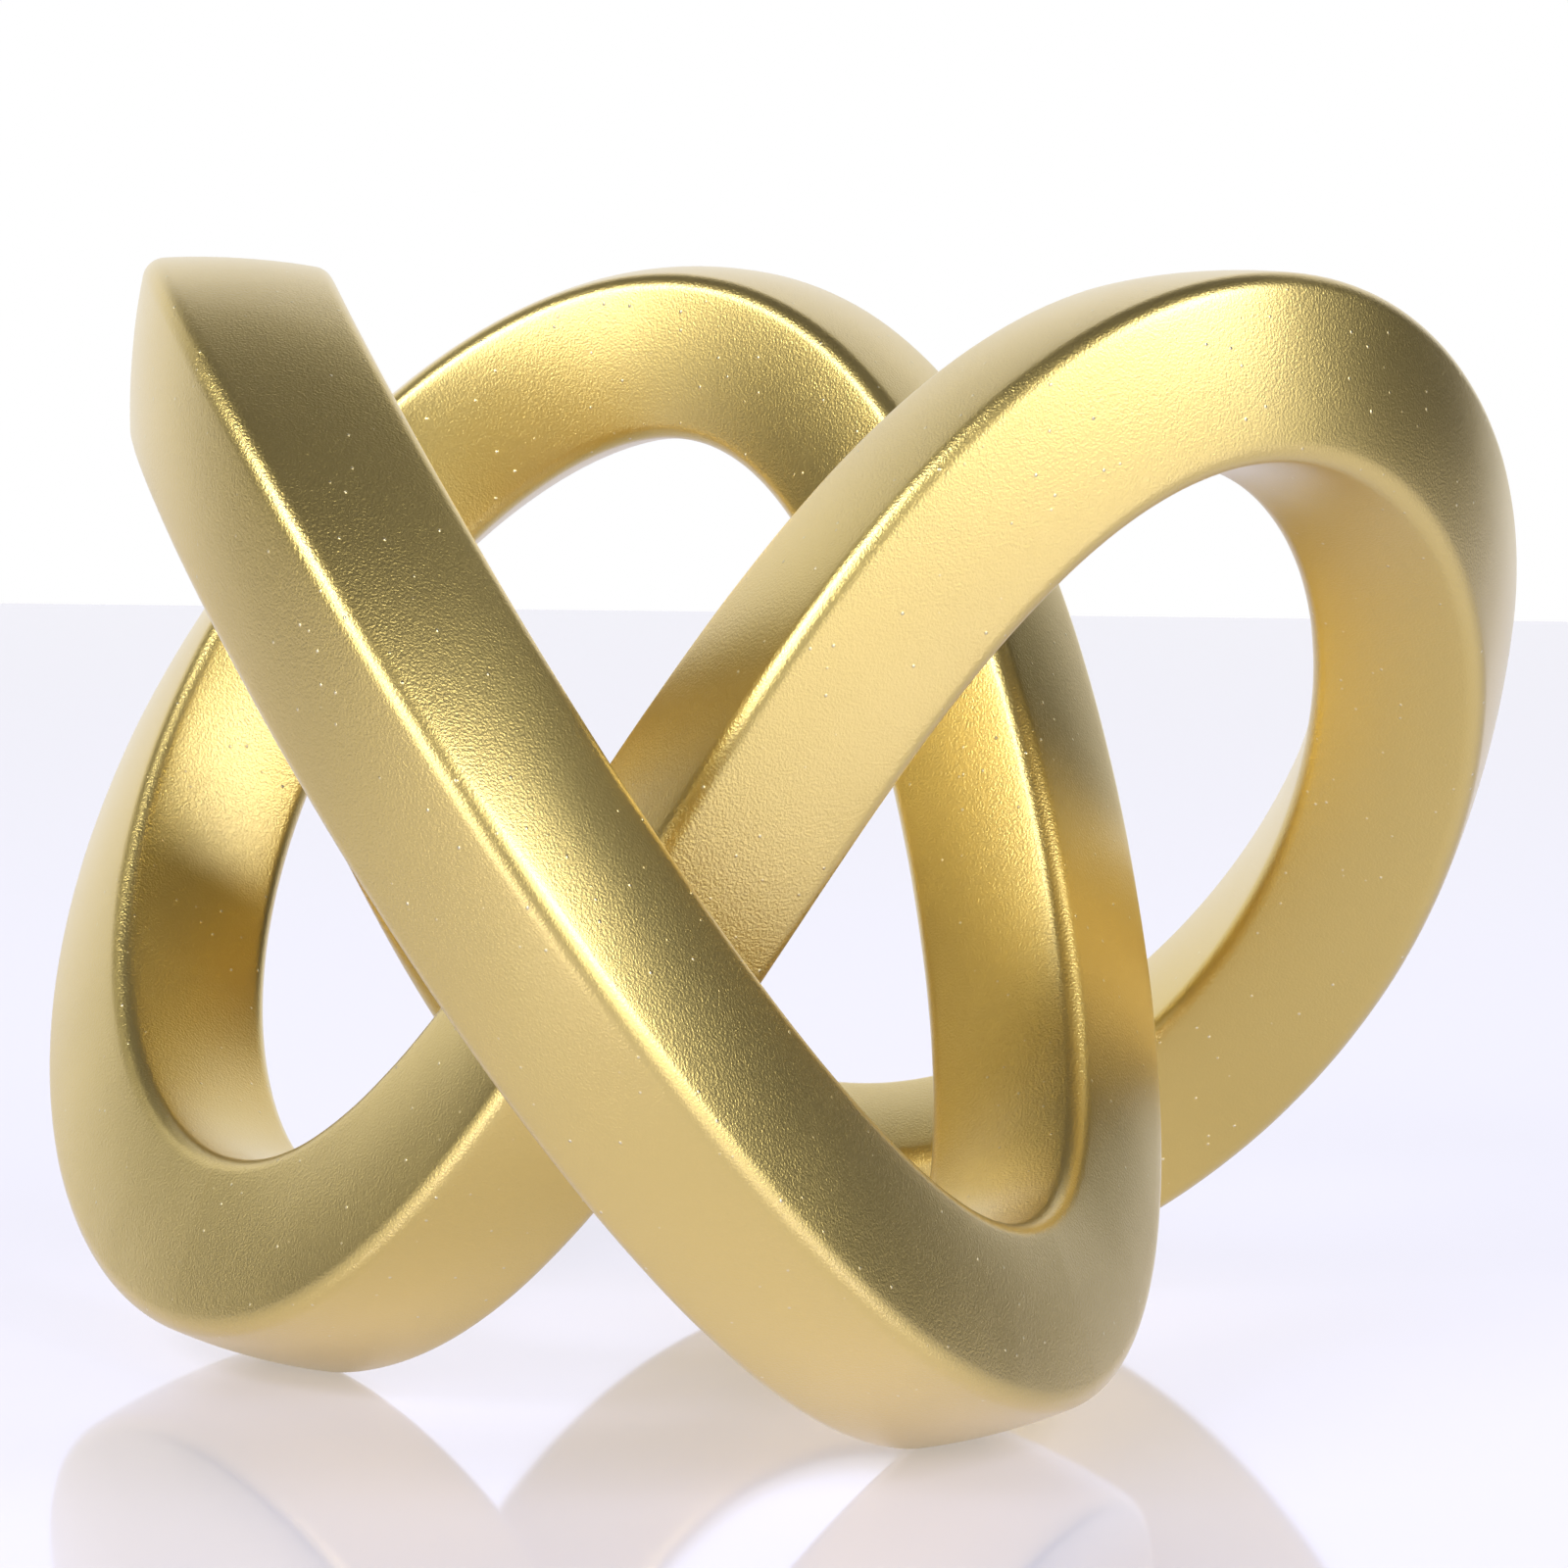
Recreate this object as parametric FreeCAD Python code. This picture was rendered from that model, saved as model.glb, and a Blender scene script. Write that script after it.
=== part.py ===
import FreeCAD, Part
import cmath
import math
import os

os.makedirs("parts", exist_ok=True)

# Lengths in millimetres, angles in degrees

# The knot: three arms alike, and the bar goes round the upright axis twice before it meets itself
arm_count = 3
ring_turns = 2

# Centre line from above: a point carried by five circles, each turning at its own steady rate
ring_radius = 50.0
loop_radius = 15.6
loop_lag = 17.0
corner_radius = 3.8
flank_radius = 2.8
sway_radius = 0.35
sway_lead = 45.0
facing = -99.0

# Centre line from the side: a plain wave, with one top and one foot to each arm
wave_height = 44.5

# Bar: a square stood on its corner, with softly crowned faces and rounded ridges
bar_depth = 24.2
bar_width = 24.8
ridge_radius = 2.2
face_crown = 0.6
foot_ridge_dip = 26.0
mid_run_roll = 2.0

# Foot flats, dressed so that the knot stands without rocking
foot_flat_depth = 0.4

# Joints at the feet: two blind steel dowels side by side, so that an arm can't turn
dowel_diameter = 4.0
dowel_length = 16.0
dowel_spacing = 10.0
dowel_chamfer = 0.4
dowel_clearance = 0.05
socket_end_gap = 0.5
drill_point_angle = 118.0

# Stations along an arm, and the short steps between them by which the ridges are carried along
stations_per_arm = 24
steps_per_station = 12

full_turn = 360.0
wave_pitch = full_turn / arm_count
first_foot = wave_pitch / 4
arm_turn = ring_turns * wave_pitch

circles = (
    (ring_turns, ring_radius, 0),
    (ring_turns - arm_count, loop_radius, -loop_lag),
    (ring_turns + arm_count, corner_radius, 0),
    (ring_turns - 2 * arm_count, flank_radius, 0),
    (ring_turns - 3 * arm_count, sway_radius, sway_lead),
)

middle = FreeCAD.Vector(0, 0, 0)
upright = FreeCAD.Vector(0, 0, 1)


def centre(place):
    """Point of the centre line; place runs through one full turn while the bar goes all the way round."""
    spot = 0
    for turns, radius, start in circles:
        spot += cmath.rect(radius, math.radians(turns * place + start + facing))
    height = -wave_height * math.sin(math.radians(arm_count * place))
    return FreeCAD.Vector(spot.real, spot.imag, height)


def heading(place):
    """Unit arrow along the centre line."""
    pace = 0
    for turns, radius, start in circles:
        pace += cmath.rect(radius * turns, math.radians(turns * place + start + facing)) * 1j
    climb = -wave_height * arm_count * math.cos(math.radians(arm_count * place))
    return FreeCAD.Vector(pace.real, pace.imag, climb).normalize()


def square_to(along, arrow):
    """The unit arrow square to the bar that lies nearest to the given one."""
    return (arrow - along * along.dot(arrow)).normalize()


def angle_about(along, arrow, wanted):
    """Angle in degrees that turns one arrow to another about the bar."""
    return math.degrees(math.atan2(along.dot(arrow.cross(wanted)), arrow.dot(wanted)))


def turned_about(axis, angle, arrow):
    return FreeCAD.Rotation(axis, angle).multVec(arrow)


def arm_stations():
    """Spot, heading and outer ridge's arrow at each station from one foot to the next.

    The ridge is carried along without turning about the bar. What it then lacks of meeting
    the next arm's ridge is given to the bar as an even twist, so that the knot closes.
    Half way up and half way down the bar rolls a little more, and not at all at feet and tops.
    """
    spot = centre(first_foot)
    along = heading(first_foot)
    level_out = along.cross(upright)
    first_ridge = turned_about(along, foot_ridge_dip, level_out)
    ridge = first_ridge
    run = 0
    carried = [(first_foot, spot, along, ridge, run)]
    steps = stations_per_arm * steps_per_station
    for step in range(1, steps + 1):
        place = first_foot + wave_pitch * step / steps
        last_spot = spot
        spot = centre(place)
        along = heading(place)
        ridge = square_to(along, ridge)
        run += (spot - last_spot).Length
        if step % steps_per_station == 0:
            carried.append((place, spot, along, ridge, run))
    twist = angle_about(along, ridge, turned_about(upright, arm_turn, first_ridge))
    stations = []
    for place, spot, along, ridge, part_run in carried:
        roll = twist * part_run / run - mid_run_roll * math.cos(math.radians(arm_count * place))
        stations.append((spot, along, turned_about(along, roll, ridge)))
    return stations


def section_arcs():
    """The bar's outline as eight arcs, each of three points: a ridge and then the face after it, four times."""
    half_depth = bar_depth / 2
    half_width = bar_width / 2
    tips = [complex(half_depth, 0), complex(0, half_width), complex(-half_depth, 0), complex(0, -half_width)]
    half_face = abs(tips[1] - tips[0]) / 2
    face_radius = (half_face ** 2 + face_crown ** 2) / (2 * face_crown)
    ridges = []
    faces = []
    for tip, next_tip in zip(tips, tips[1:] + tips[:1]):
        outward = (next_tip - tip) / abs(next_tip - tip) / 1j
        face_centre = (tip + next_tip) / 2 + outward * (face_crown - face_radius)
        toward_tip = tip / abs(tip)
        centre_along = (face_centre / toward_tip).real
        centre_off = (face_centre / toward_tip).imag
        reach = centre_along + math.sqrt((face_radius - ridge_radius) ** 2 - centre_off ** 2)
        ridge_centre = toward_tip * reach
        from_face_centre = ridge_centre - face_centre
        touch = face_centre + from_face_centre / abs(from_face_centre) * face_radius
        other_touch = toward_tip ** 2 * touch.conjugate()
        ridges.append((other_touch, toward_tip * (reach + ridge_radius), touch))
        faces.append(face_centre + outward * face_radius)
    arcs = []
    for ridge, face_middle, next_ridge in zip(ridges, faces, ridges[1:] + ridges[:1]):
        arcs.append(ridge)
        arcs.append((ridge[2], face_middle, next_ridge[0]))
    return arcs


def section_wire(station):
    """The outline set square to the bar at a station."""
    spot, along, ridge = station
    side = along.cross(ridge)
    edges = []
    for arc in section_arcs():
        points = [spot + ridge * point.real + side * point.imag for point in arc]
        edges.append(Part.Arc(*points).toShape())
    return Part.Wire(edges)


def run_on(station, turn):
    """A station of this arm moved to where the neighbouring arm has it."""
    return tuple(turned_about(upright, turn, arrow) for arrow in station)


def saw_waste(joint, next_station, sense):
    """What is sawn off past a foot joint, so that the arm's end is flat and square to the bar."""
    spot, along, ridge = joint
    length = (next_station[0] - spot).Length + bar_width
    return Part.makeCylinder(bar_width, length, spot, along * sense)


def dowel_spots(joint):
    """Middles of the outer and the inner dowel in the joint's plane."""
    spot, along, ridge = joint
    return {"outer": spot + ridge * (dowel_spacing / 2), "inner": spot - ridge * (dowel_spacing / 2)}


def socket(spot, into_arm):
    """A drilled blind hole with its cone-shaped bottom."""
    radius = dowel_diameter / 2 + dowel_clearance
    depth = dowel_length / 2 + socket_end_gap
    tip_depth = radius / math.tan(math.radians(drill_point_angle / 2))
    hole = Part.makeCylinder(radius, depth, spot, into_arm)
    tip = Part.makeCone(radius, 0, tip_depth, spot + into_arm * depth, into_arm)
    return hole.fuse(tip)


def dowel(spot, along):
    """A steel pin with chamfered ends, half of it in each arm."""
    pin = Part.makeCylinder(dowel_diameter / 2, dowel_length, spot - along * (dowel_length / 2), along)
    rims = [edge for edge in pin.Edges if edge.Closed]
    return pin.makeChamfer(dowel_chamfer, rims)


def cast_arm(stations):
    """One arm, from foot to foot: lofted a little past both joints, sawn, dressed under the feet and drilled."""
    before = run_on(stations[-2], -arm_turn)
    after = run_on(stations[1], arm_turn)
    wires = [section_wire(station) for station in [before] + stations + [after]]
    arm = Part.makeLoft(wires, True)
    first = stations[0]
    last = stations[-1]
    arm = arm.cut(saw_waste(first, before, -1)).cut(saw_waste(last, after, 1))
    box = arm.optimalBoundingBox(False)
    corner = FreeCAD.Vector(box.XMin, box.YMin, box.ZMin - foot_flat_depth)
    arm = arm.cut(Part.makeBox(box.XLength, box.YLength, 2 * foot_flat_depth, corner))
    for spot in dowel_spots(first).values():
        arm = arm.cut(socket(spot, first[1]))
    for spot in dowel_spots(last).values():
        arm = arm.cut(socket(spot, last[1] * -1))
    return arm


stations = arm_stations()
arm = cast_arm(stations)
first_joint = stations[0]
nodes = {}
for index, (arm_name, joint_name) in enumerate((("rear", "right"), ("right", "left"), ("left", "back"))):
    nodes[arm_name + "_arm"] = arm.rotated(middle, upright, index * arm_turn)
    for side, spot in dowel_spots(first_joint).items():
        pin = dowel(spot, first_joint[1]).rotated(middle, upright, index * arm_turn)
        nodes[joint_name + "_foot_" + side + "_dowel"] = pin

# The origin lies in the middle of the knot's outline from above, on the surface that it stands on
outline = Part.makeCompound([shape for name, shape in nodes.items() if name.endswith("arm")])
box = outline.optimalBoundingBox(False)
to_origin = FreeCAD.Vector(-box.Center.x, -box.Center.y, -box.ZMin)

for name, shape in nodes.items():
    shape.translated(to_origin).exportStep("parts/" + name + ".step")
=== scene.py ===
import cmath
import math

import bpy
from mathutils import Matrix, Vector


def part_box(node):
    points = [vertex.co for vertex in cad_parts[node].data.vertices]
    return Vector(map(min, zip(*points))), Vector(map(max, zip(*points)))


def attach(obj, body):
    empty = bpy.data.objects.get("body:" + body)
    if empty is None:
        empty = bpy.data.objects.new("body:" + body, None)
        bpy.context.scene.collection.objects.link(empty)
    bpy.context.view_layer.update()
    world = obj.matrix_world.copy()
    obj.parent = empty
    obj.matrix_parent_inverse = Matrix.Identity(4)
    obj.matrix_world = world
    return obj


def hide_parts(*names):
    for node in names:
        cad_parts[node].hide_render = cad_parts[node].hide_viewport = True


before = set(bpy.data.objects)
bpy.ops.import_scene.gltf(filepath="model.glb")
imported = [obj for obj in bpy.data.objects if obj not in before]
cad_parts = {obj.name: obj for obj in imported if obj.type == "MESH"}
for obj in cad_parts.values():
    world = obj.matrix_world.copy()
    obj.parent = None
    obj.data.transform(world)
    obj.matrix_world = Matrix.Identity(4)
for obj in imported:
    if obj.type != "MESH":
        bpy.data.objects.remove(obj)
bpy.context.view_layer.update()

# Dowels. Six ground steel pins, two side by side in each of the three foot joints, where they are glued
# into blind sockets and keep the arms from turning. They lie evenly round the knot's upright axis.
mm = 0.001
wave_height = 44.5 * mm
joints = ("right_foot", "left_foot", "back_foot")
sides = ("outer", "inner")
dowel_names = [joint + "_" + side + "_dowel" for joint in joints for side in sides]
dowel_middles = {name: sum(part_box(name), Vector()) / 2 for name in dowel_names}

# each joint lies at a lowest point of the bar's line, a wave's height below the knot's middle
knot_middle = sum(dowel_middles.values(), Vector()) / len(dowel_names)
knot_middle.z += wave_height

steel_colour = (0.56, 0.57, 0.58, 1)
steel_roughness = 0.24
steel_roughness_spread = 0.12
grinding_line = 0.06 * mm
grinding_length = 3 * mm
grinding_depth = 0.002 * mm
grinding_detail = 3.0


def add_node(tree, kind, operation=None, **values):
    """Adds a node; its inputs go by name, or by place as i0, i1, ..., each a value or an output to link."""
    added = tree.nodes.new(kind)
    if operation:
        added.operation = operation
    for key, value in values.items():
        place = int(key[1:]) if key[0] == "i" and key[1:].isdigit() else key.replace("_", " ")
        if isinstance(value, bpy.types.NodeSocket):
            tree.links.new(value, added.inputs[place])
        else:
            added.inputs[place].default_value = value
    return added


def new_finish(name, colour, roughness):
    """A material with its shader, whose colour and roughness are the plain ones."""
    finish = bpy.data.materials.new(name)
    finish.use_nodes = True
    shader = finish.node_tree.nodes["Principled BSDF"]
    shader.inputs["Base Color"].default_value = colour
    shader.inputs["Roughness"].default_value = roughness
    return finish, shader


for joint in joints:
    joint_dowels = [joint + "_" + side + "_dowel" for side in sides]
    apart = dowel_middles[joint_dowels[0]] - dowel_middles[joint_dowels[1]]
    pin_angle = math.atan2(apart.y, apart.x) + math.pi / 2
    steel, steel_shader = new_finish(joint + "_ground_steel", steel_colour, steel_roughness)
    steel_shader.inputs["Metallic"].default_value = 1
    steel_tree = steel.node_tree
    on_pin = add_node(steel_tree, "ShaderNodeTexCoord").outputs["Object"]
    along_pin = add_node(steel_tree, "ShaderNodeMapping", Vector=on_pin, Rotation=(0, 0, -pin_angle),
                         Scale=(1 / grinding_line, 1 / grinding_length, 1 / grinding_length)).outputs[0]
    lines = add_node(steel_tree, "ShaderNodeTexNoise", Vector=along_pin, Scale=1.0,
                     Detail=grinding_detail).outputs["Fac"]
    uneven = add_node(steel_tree, "ShaderNodeMath", "MULTIPLY_ADD", i0=lines, i1=steel_roughness_spread,
                      i2=steel_roughness - steel_roughness_spread / 2).outputs[0]
    ground = add_node(steel_tree, "ShaderNodeBump", Height=lines, Distance=grinding_depth).outputs[0]
    steel_tree.links.new(uneven, steel_shader.inputs["Roughness"])
    steel_tree.links.new(ground, steel_shader.inputs["Normal"])
    for name in joint_dowels:
        for material_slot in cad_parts[name].material_slots:
            material_slot.material = steel

# Arms, their line. The three castings follow one closed line. From above it is drawn by a point that five
# circles carry round, each at its own steady rate, and from the side it is a wave with three tops and feet.
arm_count = 3
ring_turns = 2
ring_radius = 50 * mm
loop_radius = 15.6 * mm
loop_lag = math.radians(17)
corner_radius = 3.8 * mm
flank_radius = 2.8 * mm
sway_radius = 0.35 * mm
sway_lead = math.radians(45)
facing = math.radians(-99)
wave_pitch = math.tau / arm_count
first_foot = wave_pitch / 4
arm_turn = ring_turns * wave_pitch
circles = (
    (ring_turns, ring_radius, facing),
    (ring_turns - arm_count, loop_radius, facing - loop_lag),
    (ring_turns + arm_count, corner_radius, facing),
    (ring_turns - 2 * arm_count, flank_radius, facing),
    (ring_turns - 3 * arm_count, sway_radius, facing + sway_lead),
)
twist_steps = 600


def centre(place):
    """Point of the line, from the knot's middle; place runs through a full turn for the whole bar."""
    spot = sum(cmath.rect(radius, turns * place + start) for turns, radius, start in circles)
    return Vector((spot.real, spot.imag, -wave_height * math.sin(arm_count * place)))


# the ridge is carried along the line without turning about it, and what it then lacks of meeting the next
# arm's ridge is given to the arm as an even twist
spots = [centre(first_foot + wave_pitch * step / twist_steps) for step in range(-1, twist_steps + 2)]
headings = [(after - before).normalized() for before, after in zip(spots, spots[2:])]
level_out = headings[0].cross(Vector((0, 0, 1)))
carried_ridge = level_out
for way in headings[1:]:
    carried_ridge = (carried_ridge - way * way.dot(carried_ridge)).normalized()
to_next_foot = Matrix.Rotation(arm_turn, 3, "Z")
next_ridge = to_next_foot @ level_out
even_twist = math.atan2(headings[-1].dot(carried_ridge.cross(next_ridge)), carried_ridge.dot(next_ridge))

# Arms, their section. The bar is a square stood on its corner, with softly crowned faces and ridges that
# are rounded over by hand, as a filed and sanded casting has them.
bar_depth = 24.2 * mm
bar_width = 24.8 * mm
ridge_radius = 2.2 * mm
face_crown = 0.6 * mm
ridge_points = 8
face_points = 12


def add_object(name, data):
    """A new object with its mesh, curve, lamp or lens, put into the scene."""
    added = bpy.data.objects.new(name, data)
    bpy.context.scene.collection.objects.link(added)
    return added


half_depth = bar_depth / 2
half_width = bar_width / 2
tips = [complex(half_depth, 0), complex(0, half_width), complex(-half_depth, 0), complex(0, -half_width)]
half_face = abs(tips[1] - tips[0]) / 2
face_radius = (half_face ** 2 + face_crown ** 2) / (2 * face_crown)
section = []
for tip, next_tip in zip(tips, tips[1:] + tips[:1]):
    outward = (next_tip - tip) / abs(next_tip - tip) / 1j
    face_centre = (tip + next_tip) / 2 + outward * (face_crown - face_radius)
    ends = []
    for corner in (tip, next_tip):
        toward = corner / abs(corner)
        offset = face_centre / toward
        reach = offset.real + math.sqrt((face_radius - ridge_radius) ** 2 - offset.imag ** 2)
        ends.append((toward, toward * reach, cmath.phase((toward * reach - face_centre) / outward)))
    toward, ridge_centre, face_start = ends[0]
    face_end = ends[1][2]
    half_ridge = cmath.phase(outward * cmath.rect(1, face_start) / toward)
    for step in range(ridge_points):
        angle = half_ridge * (2 * step / ridge_points - 1)
        section.append(ridge_centre + toward * cmath.rect(ridge_radius, angle))
    for step in range(face_points):
        angle = face_start + (face_end - face_start) * step / face_points
        section.append(face_centre + outward * cmath.rect(face_radius, angle))
template_curve = bpy.data.curves.new("section_template", "CURVE")
template_spline = template_curve.splines.new("POLY")
template_spline.points.add(len(section) - 1)
for point, outline_spot in zip(template_spline.points, section):
    point.co = (outline_spot.real, outline_spot.imag, 0, 1)
template_spline.use_cyclic_u = True
section_template = add_object("section_template", template_curve)

# Arms, their sockets. Each arm's two sawn ends are drilled twice, for the dowels, to a little over the
# depth that a pin needs. The drill leaves a cone at the bottom.
dowel_spacing = 10 * mm
socket_radius = 2.05 * mm
socket_depth = 8.5 * mm
drill_point_angle = math.radians(118)
drill_overrun = 1 * mm
drill_sides = 32
foot_ridge_dip = math.radians(26)
tip_depth = socket_radius / math.tan(drill_point_angle / 2)
drill_spots = []
drill_faces = []
first_ridge = Matrix.Rotation(foot_ridge_dip, 3, headings[0]) @ level_out
joint_ends = (
    (centre(first_foot), first_ridge, headings[0]),
    (to_next_foot @ centre(first_foot), to_next_foot @ first_ridge, to_next_foot @ -headings[0]),
)
for joint_spot, ridge, into_arm in joint_ends:
    upward = into_arm.cross(ridge)
    for shift in (dowel_spacing / 2, -dowel_spacing / 2):
        first = len(drill_spots)
        for depth in (-drill_overrun, socket_depth):
            for side in range(drill_sides):
                angle = math.tau * side / drill_sides
                rim = (ridge * math.cos(angle) + upward * math.sin(angle)) * socket_radius
                drill_spots.append(joint_spot + ridge * shift + into_arm * depth + rim)
        drill_spots.append(joint_spot + ridge * shift + into_arm * (socket_depth + tip_depth))
        for side in range(drill_sides):
            following = (side + 1) % drill_sides
            drill_faces.append((first + side, first + following,
                                first + drill_sides + following, first + drill_sides + side))
            drill_faces.append((first + drill_sides + side, first + drill_sides + following,
                                first + 2 * drill_sides))
        drill_faces.append([first + side for side in reversed(range(drill_sides))])
drill_mesh = bpy.data.meshes.new("socket_drills")
drill_mesh.from_pydata(drill_spots, [], drill_faces)
socket_drills = add_object("socket_drills", drill_mesh)

# Arms, their paint. A satin gold metallic coat is sprayed on over primer and sealed with a thin lacquer.
# The spray leaves a fine orange peel, stronger in some places than in others, and scattered nibs of dust,
# whose pale colour is a painted glint.
paint_colour = (0.73, 0.545, 0.153, 1)
# the pale colour of the dust nibs is a painted glint
nib_and_glint_colour = (0.95, 0.88, 0.62, 1)
paint_roughness = 0.33
paint_roughness_spread = 0.06
lacquer_weight = 1.0
lacquer_roughness = 0.3
peel_size = 0.25 * mm
deepest_peel = 0.116 * mm
peel_detail = 2.0
cloud_size = 28 * mm
cloud_detail = 1.0
nib_spacing = 2 * mm
nib_radius = 0.2 * mm
nib_share = 0.7
nib_height = 0.09 * mm

gold_paint, paint_shader = new_finish("gold_paint", paint_colour, paint_roughness)
paint_shader.inputs["Metallic"].default_value = 1
paint_shader.inputs["Coat Weight"].default_value = lacquer_weight
paint_shader.inputs["Coat Roughness"].default_value = lacquer_roughness
paint_tree = gold_paint.node_tree
on_arm = add_node(paint_tree, "ShaderNodeTexCoord").outputs["Object"]
peel = add_node(paint_tree, "ShaderNodeTexNoise", Vector=on_arm, Scale=1 / peel_size,
                Detail=peel_detail).outputs["Fac"]
clouds = add_node(paint_tree, "ShaderNodeTexNoise", Vector=on_arm, Scale=1 / cloud_size,
                  Detail=cloud_detail).outputs["Fac"]
cells = add_node(paint_tree, "ShaderNodeTexVoronoi", Vector=on_arm, Scale=1 / nib_spacing)
near_nib = add_node(paint_tree, "ShaderNodeMapRange", Value=cells.outputs["Distance"],
                    i1=nib_radius / nib_spacing, i2=0.0, i3=0.0, i4=1.0).outputs[0]
cell_chance = add_node(paint_tree, "ShaderNodeSeparateColor", Color=cells.outputs["Color"]).outputs[0]
has_nib = add_node(paint_tree, "ShaderNodeMath", "LESS_THAN", i0=cell_chance, i1=nib_share).outputs[0]
nib_and_glint = add_node(paint_tree, "ShaderNodeMath", "MULTIPLY", i0=near_nib, i1=has_nib).outputs[0]
# the nibs take the pale colour over the gold, a painted glint; their small bump below is real
colour = add_node(paint_tree, "ShaderNodeMix")
colour.data_type = "RGBA"
colour_inputs = {socket.name: socket for socket in colour.inputs if socket.type == "RGBA"}
colour_inputs["A"].default_value = paint_colour
colour_inputs["B"].default_value = nib_and_glint_colour
paint_tree.links.new(nib_and_glint, colour.inputs[0])
coloured = next(socket for socket in colour.outputs if socket.type == "RGBA")
cloudy = add_node(paint_tree, "ShaderNodeMath", "MULTIPLY_ADD", i0=clouds, i1=paint_roughness_spread,
                  i2=paint_roughness - paint_roughness_spread / 2).outputs[0]

# the peel is deepest where the clouds are thickest, and the nibs of dust stand on it
peel_height = add_node(paint_tree, "ShaderNodeMath", "MULTIPLY", i0=peel, i1=clouds).outputs[0]
peeled = add_node(paint_tree, "ShaderNodeBump", Height=peel_height, Distance=deepest_peel).outputs[0]
bumped = add_node(paint_tree, "ShaderNodeBump", Height=nib_and_glint, Distance=nib_height, Normal=peeled).outputs[0]
paint_tree.links.new(coloured, paint_shader.inputs["Base Color"])
paint_tree.links.new(cloudy, paint_shader.inputs["Roughness"])
paint_tree.links.new(bumped, paint_shader.inputs["Normal"])

# Arms, the castings. Three like pieces, each from one foot over a top to the next foot, butted and pinned
# at the feet and dressed flush before painting, so that no seam shows. Each end stands on a dressed flat.
rings = 300
end_crowding = 0.95
mid_run_roll = math.radians(2)
filing_size = 14 * mm
filing_depth = 0.12 * mm
filing_detail = 2.0
flush_share = 0.04
flush_blend = 0.5

arm_tree = bpy.data.node_groups.new("arm_sweep", "GeometryNodeTree")
arm_tree.interface.new_socket("Geometry", in_out="OUTPUT", socket_type="NodeSocketGeometry")
arm_entry = arm_tree.nodes.new("NodeGroupInput")
arm_values = {}
arm_sockets = {}


def arm_input(name, kind, value):
    """A named input of the arm's tree; its value is kept by the socket's identifier."""
    socket = arm_tree.interface.new_socket(name, in_out="INPUT", socket_type="NodeSocket" + kind)
    arm_values[socket.identifier] = value
    arm_sockets[name] = socket.identifier
    return next(output for output in arm_entry.outputs if output.name == name)


def maths(operation, first, second=0.0, third=0.0):
    """A sum of up to three numbers or outputs, in the arm's tree."""
    return add_node(arm_tree, "ShaderNodeMath", operation, i0=first, i1=second, i2=third).outputs[0]


ring_count = arm_input("Rings", "Int", rings)
start_place = arm_input("First foot", "Float", first_foot)
place_run = arm_input("Foot to foot", "Float", wave_pitch)
tops = arm_input("Tops", "Float", arm_count)
height = arm_input("Wave height", "Float", wave_height)
ridge_dip = arm_input("Foot ridge dip", "Float", foot_ridge_dip)
extra_roll = arm_input("Mid run roll", "Float", mid_run_roll)
twist = arm_input("Even twist", "Float", even_twist)
middle = arm_input("Knot middle", "Vector", knot_middle)
template = arm_input("Section template", "Object", section_template)
drills = arm_input("Socket drills", "Object", socket_drills)
unevenness = arm_input("Filing depth", "Float", filing_depth)
unevenness_scale = arm_input("Filing scale", "Float", 1 / filing_size)
flush_run = arm_input("Flush share", "Float", flush_share)
finish = arm_input("Finish", "Material", gold_paint)
turn = arm_input("Turn", "Float", 0.0)

# stations stand closer at the two ends, so that the shading runs on across the joints
bar_line = add_node(arm_tree, "GeometryNodeCurvePrimitiveLine").outputs[0]
stations = add_node(arm_tree, "GeometryNodeResampleCurve", Curve=bar_line, Count=ring_count).outputs[0]
station = add_node(arm_tree, "GeometryNodeInputIndex").outputs[0]
even_share = maths("DIVIDE", station, maths("SUBTRACT", ring_count, 1))
half_wave = maths("COSINE", maths("MULTIPLY", even_share, math.pi))
eased_share = maths("DIVIDE", maths("SUBTRACT", 1.0, half_wave), 2.0)
share = add_node(arm_tree, "ShaderNodeMix", Factor=end_crowding, i2=even_share, i3=eased_share).outputs[0]
place = maths("MULTIPLY_ADD", share, place_run, start_place)
wave = maths("MULTIPLY", maths("SINE", maths("MULTIPLY", place, tops)), maths("MULTIPLY", height, -1))
line_spot = add_node(arm_tree, "ShaderNodeCombineXYZ", Z=wave).outputs[0]
for number, (turns, radius, start) in enumerate(circles, 1):
    size = arm_input("Circle %d radius" % number, "Float", radius)
    rate = arm_input("Circle %d turns" % number, "Float", turns)
    bearing_now = maths("MULTIPLY_ADD", place, rate, arm_input("Circle %d start" % number, "Float", start))
    carried = add_node(arm_tree, "ShaderNodeCombineXYZ", X=maths("COSINE", bearing_now),
                       Y=maths("SINE", bearing_now)).outputs[0]
    scaled = add_node(arm_tree, "ShaderNodeVectorMath", "SCALE", i0=carried, Scale=size).outputs[0]
    line_spot = add_node(arm_tree, "ShaderNodeVectorMath", "ADD", i0=line_spot, i1=scaled).outputs[0]
line = add_node(arm_tree, "GeometryNodeSetPosition", Geometry=stations, Position=line_spot).outputs[0]
run_share = add_node(arm_tree, "GeometryNodeSplineParameter").outputs["Factor"]
even_tilt = maths("MULTIPLY_ADD", run_share, twist, ridge_dip)
mid_run = maths("COSINE", maths("MULTIPLY", place, tops))
tilt = maths("SUBTRACT", even_tilt, maths("MULTIPLY", mid_run, extra_roll))
line = add_node(arm_tree, "GeometryNodeSetCurveTilt", Curve=line, Tilt=tilt).outputs[0]

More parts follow.
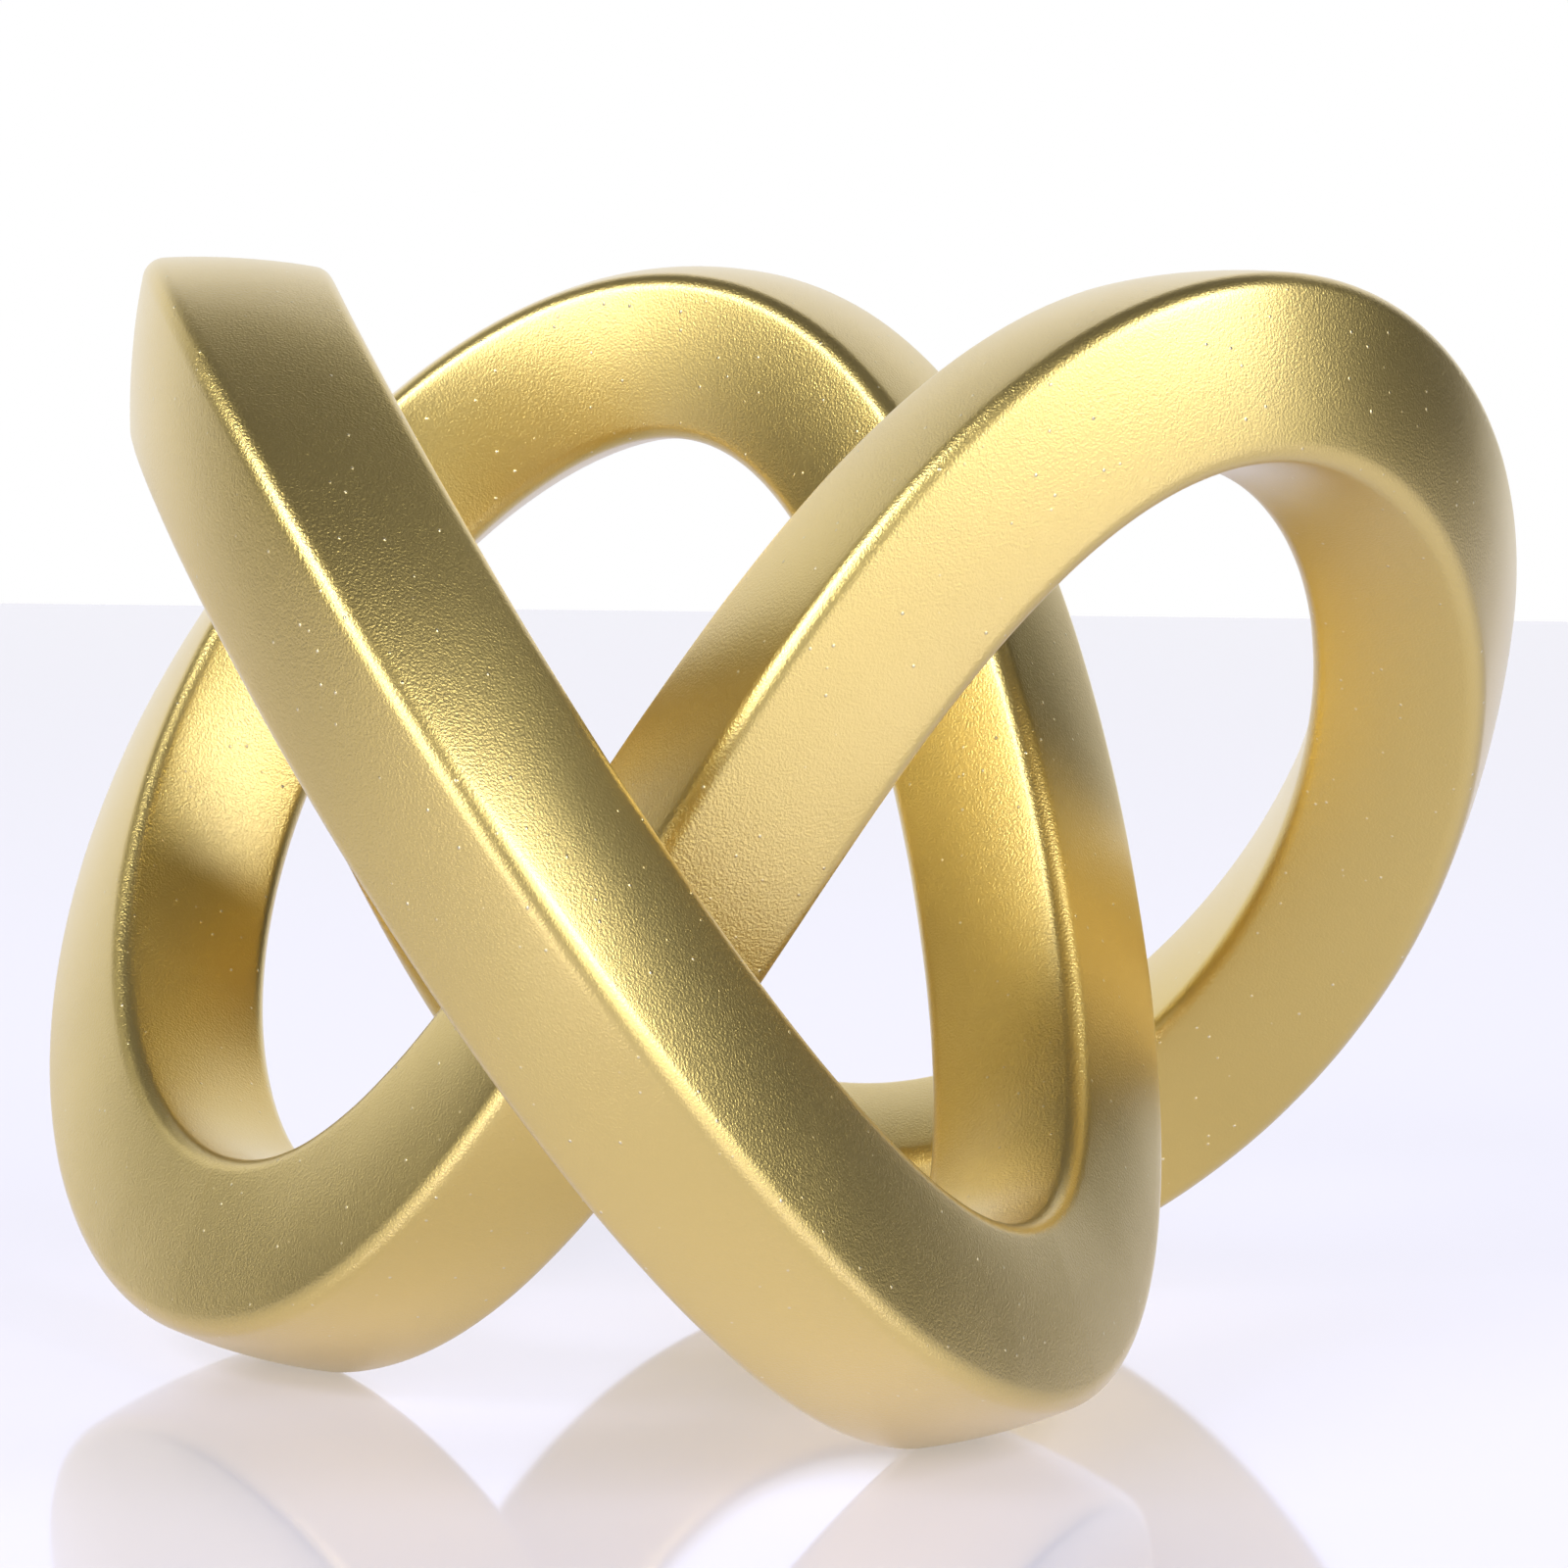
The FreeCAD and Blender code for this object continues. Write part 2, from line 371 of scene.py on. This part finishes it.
# the bar is swept, and each spot on it keeps how far along the arm it lies, for the filing
kept_share = arm_tree.nodes.new("GeometryNodeCaptureAttribute")
kept_share.capture_items.new("FLOAT", "Run share")
arm_tree.links.new(line, kept_share.inputs[0])
arm_tree.links.new(run_share, kept_share.inputs[1])
profile = add_node(arm_tree, "GeometryNodeObjectInfo", Object=template).outputs["Geometry"]
swept = add_node(arm_tree, "GeometryNodeCurveToMesh", Curve=kept_share.outputs[0], Profile_Curve=profile,
                 Fill_Caps=True).outputs[0]

# the files leave the surface a touch uneven, but not at the joints, which are dressed flush
from_first_end = maths("DIVIDE", kept_share.outputs[1], flush_run)
from_last_end = maths("DIVIDE", maths("SUBTRACT", 1.0, kept_share.outputs[1]), flush_run)
off_joint = maths("SMOOTH_MIN", maths("MINIMUM", from_first_end, from_last_end), 1.0, flush_blend)
here = add_node(arm_tree, "GeometryNodeInputPosition").outputs[0]
filed = add_node(arm_tree, "ShaderNodeTexNoise", Vector=here, Scale=unevenness_scale,
                 Detail=filing_detail).outputs["Fac"]
hollow = maths("MULTIPLY", maths("MULTIPLY", maths("SUBTRACT", filed, 1.0), unevenness), off_joint)
facing_out = add_node(arm_tree, "GeometryNodeInputNormal").outputs[0]
file_cut = add_node(arm_tree, "ShaderNodeVectorMath", "SCALE", i0=facing_out, Scale=hollow).outputs[0]
hand_filed = add_node(arm_tree, "GeometryNodeSetPosition", Geometry=swept, Offset=file_cut).outputs[0]
drill_shape = add_node(arm_tree, "GeometryNodeObjectInfo", Object=drills).outputs["Geometry"]
drilled = add_node(arm_tree, "GeometryNodeMeshBoolean", "DIFFERENCE", i0=hand_filed,
                   i1=drill_shape).outputs[0]

# each arm is turned to its own foot, set on the knot's middle and cut level with the table under its feet
about_upright = add_node(arm_tree, "ShaderNodeCombineXYZ", Z=turn).outputs[0]
euler = add_node(arm_tree, "FunctionNodeEulerToRotation", Euler=about_upright).outputs[0]
placed = add_node(arm_tree, "GeometryNodeTransform", Geometry=drilled, Translation=middle,
                  Rotation=euler).outputs[0]
surface_spot = add_node(arm_tree, "ShaderNodeSeparateXYZ", Vector=here)
dressed_spot = add_node(arm_tree, "ShaderNodeCombineXYZ", X=surface_spot.outputs["X"],
                        Y=surface_spot.outputs["Y"],
                        Z=maths("MAXIMUM", surface_spot.outputs["Z"], 0.0)).outputs[0]
dressed = add_node(arm_tree, "GeometryNodeSetPosition", Geometry=placed, Position=dressed_spot).outputs[0]
real = add_node(arm_tree, "GeometryNodeRealizeInstances", Geometry=dressed).outputs[0]
painted = add_node(arm_tree, "GeometryNodeSetMaterial", Geometry=real, Material=finish).outputs[0]
arm_exit = arm_tree.nodes.new("NodeGroupOutput")
arm_tree.links.new(painted, arm_exit.inputs[0])

for index, name in enumerate(("rear_arm", "right_arm", "left_arm")):
    blank = add_object(name + "_sweep", bpy.data.meshes.new(name + "_sweep"))
    sweep = blank.modifiers.new("sweep", "NODES")
    sweep.node_group = arm_tree
    for identifier, value in arm_values.items():
        sweep[identifier] = value
    sweep[arm_sockets["Turn"]] = index * arm_turn
    swept_object = blank.evaluated_get(bpy.context.evaluated_depsgraph_get())
    casting = add_object(name + "_casting", bpy.data.meshes.new_from_object(swept_object))
    bpy.data.objects.remove(blank)
    casting.data.name = casting.name
    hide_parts(name)
    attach(casting, "root")
bpy.data.objects.remove(section_template)
bpy.data.objects.remove(socket_drills)

# Table. The knot stands on a plain lacquered sheet, white with a trace of lilac, which mirrors it faintly
# and takes a small shadow under each foot.
table_size = 2.4
table_white = (0.70, 0.68, 0.84, 1)
table_roughness = 0.06
table_gloss = 0.55
gloss_start = 0.3
gloss_full = 0.8
table_lift = 0.28
pure_white = (1, 1, 1, 1)


def flat_sheet(name, corners, finish):
    """An object of one face with its material."""
    sheet_mesh = bpy.data.meshes.new(name)
    sheet_mesh.from_pydata(corners, [], [(0, 1, 2, 3)])
    sheet_mesh.materials.append(finish)
    return add_object(name, sheet_mesh)


def seen_white(tree):
    """One for the rays that show the white background: the camera's, and those mirrored or passed on."""
    ray = add_node(tree, "ShaderNodeLightPath").outputs
    mirrored = add_node(tree, "ShaderNodeMath", "MAXIMUM", i0=ray["Is Camera Ray"],
                        i1=ray["Is Glossy Ray"]).outputs[0]
    return add_node(tree, "ShaderNodeMath", "MAXIMUM", i0=mirrored, i1=ray["Is Transmission Ray"]).outputs[0]


table_lacquer, table_shader = new_finish("table_lacquer", table_white, table_roughness)
table_shader.inputs["Specular IOR Level"].default_value = 0
table_shader.inputs["Emission Color"].default_value = pure_white
table_tree = table_lacquer.node_tree
glancing = add_node(table_tree, "ShaderNodeLayerWeight").outputs["Facing"]
gloss = add_node(table_tree, "ShaderNodeMapRange", Value=glancing, i1=gloss_start, i2=gloss_full, i3=0.0,
                 i4=table_gloss).outputs[0]
lift = add_node(table_tree, "ShaderNodeMath", "MULTIPLY", i0=seen_white(table_tree), i1=table_lift).outputs[0]
table_tree.links.new(gloss, table_shader.inputs["Metallic"])
table_tree.links.new(lift, table_shader.inputs["Emission Strength"])
half_table = table_size / 2
table_corners = [(-half_table, -half_table, 0), (half_table, -half_table, 0),
                 (half_table, half_table, 0), (-half_table, half_table, 0)]
table = flat_sheet("table", table_corners, table_lacquer)

# Studio, the room. It is white all round. Dark cloth cards at the left, at the right and overhead, and a
# pale one behind the camera, give the satin paint something darker to mirror. They stand outside the
# picture and are kept from the camera.
room_light = 0.45
background_white = 1.0
card_distance = 1.3
card_foot = -0.3
card_top = 1.55
cloth_roughness = 1.0

room = bpy.data.worlds.new("studio")
bpy.context.scene.world = room
room.use_nodes = True
room_tree = room.node_tree
background = room_tree.nodes["Background"]
background.inputs["Color"].default_value = pure_white
strength = add_node(room_tree, "ShaderNodeMix", Factor=seen_white(room_tree), i2=room_light,
                    i3=background_white).outputs[0]
room_tree.links.new(strength, background.inputs["Strength"])


def bearing(around, above=0):
    """Unit arrow from two angles in degrees: around the knot, with the camera at 180, and above level."""
    around = math.radians(around)
    above = math.radians(above)
    return Vector((math.sin(around) * math.cos(above), math.cos(around) * math.cos(above), math.sin(above)))


# each card's name, the way to it in degrees or None for overhead, half its width in degrees, and its grey
cards = (
    ("left_card", -88, 22, 0.25),
    ("right_card", 90.5, 46, 0.14),
    ("front_card", -166, 27, 0.85),
    ("top_card", None, 44, 0.3),
)
for name, around, half_angle, shade in cards:
    reach = card_distance * math.tan(math.radians(half_angle))
    if around is None:
        corners = [(-reach, -reach, card_top), (reach, -reach, card_top), (reach, reach, card_top),
                   (-reach, reach, card_top)]
    else:
        outward = bearing(around) * card_distance
        sideways = outward.cross(Vector((0, 0, 1))).normalized() * reach
        corners = [outward + sideways * sign + Vector((0, 0, level))
                   for sign, level in ((-1, card_foot), (1, card_foot), (1, card_top), (-1, card_top))]
    cloth, cloth_shader = new_finish(name + "_cloth", (shade, shade, shade, 1), cloth_roughness)
    cloth_shader.inputs["Specular IOR Level"].default_value = 0
    card = flat_sheet(name, corners, cloth)
    card.visible_camera = False

# Studio, the lamps. Two tall softboxes stand in front of the knot, left and right, each brighter in its
# upper part, with a weaker fill beside the camera. All are aimed at the knot's middle.
aim_height = 55 * mm
light_distance = 0.9
light_colour = (0.96, 1.0, 1.18)
light_aim = Vector((0, 0, aim_height))

# each lamp's name, the way to it around and above in degrees, its width and height in degrees, and how
# bright its face is, where 1 is the white of the room
softboxes = (
    ("left_softbox_top", -127, 36, 20, 16, 10.6),
    ("left_softbox_bottom", -142, 13, 26, 28, 4.3),
    ("right_softbox_top", 124, 31, 28, 26, 6.3),
    ("right_softbox_bottom", 124, 9, 28, 18, 2.2),
    ("front_fill", 152, 16, 24, 36, 1.5),
)
for name, around, above, wide, tall, brightness in softboxes:
    lamp = bpy.data.lights.new(name, "AREA")
    lamp.shape = "RECTANGLE"
    lamp.color = light_colour
    lamp.size = 2 * light_distance * math.tan(math.radians(wide / 2))
    lamp.size_y = 2 * light_distance * math.tan(math.radians(tall / 2))
    lamp.energy = brightness * math.pi * lamp.size * lamp.size_y
    softbox = add_object(name, lamp)
    way = bearing(around, above)
    softbox.location = light_aim + way * light_distance
    softbox.rotation_euler = way.to_track_quat("Z", "Y").to_euler()

# Camera. A long lens half a metre in front of the knot and a little above its middle, looking slightly
# down, as the photograph was taken.
lens_length = 119.65
sensor_width = 36
nearest_seen = 10 * mm
camera_before = 511.6 * mm
camera_above = 51.8 * mm
camera_pan = 0.0137
camera_tilt = -0.0954
camera_roll = 0.0126
camera_data = bpy.data.cameras.new("camera")
camera_data.lens = lens_length
camera_data.sensor_width = sensor_width
camera_data.clip_start = nearest_seen
camera = add_object("camera", camera_data)
camera_spot = knot_middle + Vector((0, -camera_before, camera_above))
look = Matrix.Rotation(-camera_pan, 4, "Z") @ Matrix.Rotation(math.pi / 2 + camera_tilt, 4, "X")
camera.matrix_world = Matrix.Translation(camera_spot) @ look @ Matrix.Rotation(camera_roll, 4, "Z")
bpy.context.scene.camera = camera
bpy.context.scene.view_settings.view_transform = "Standard"
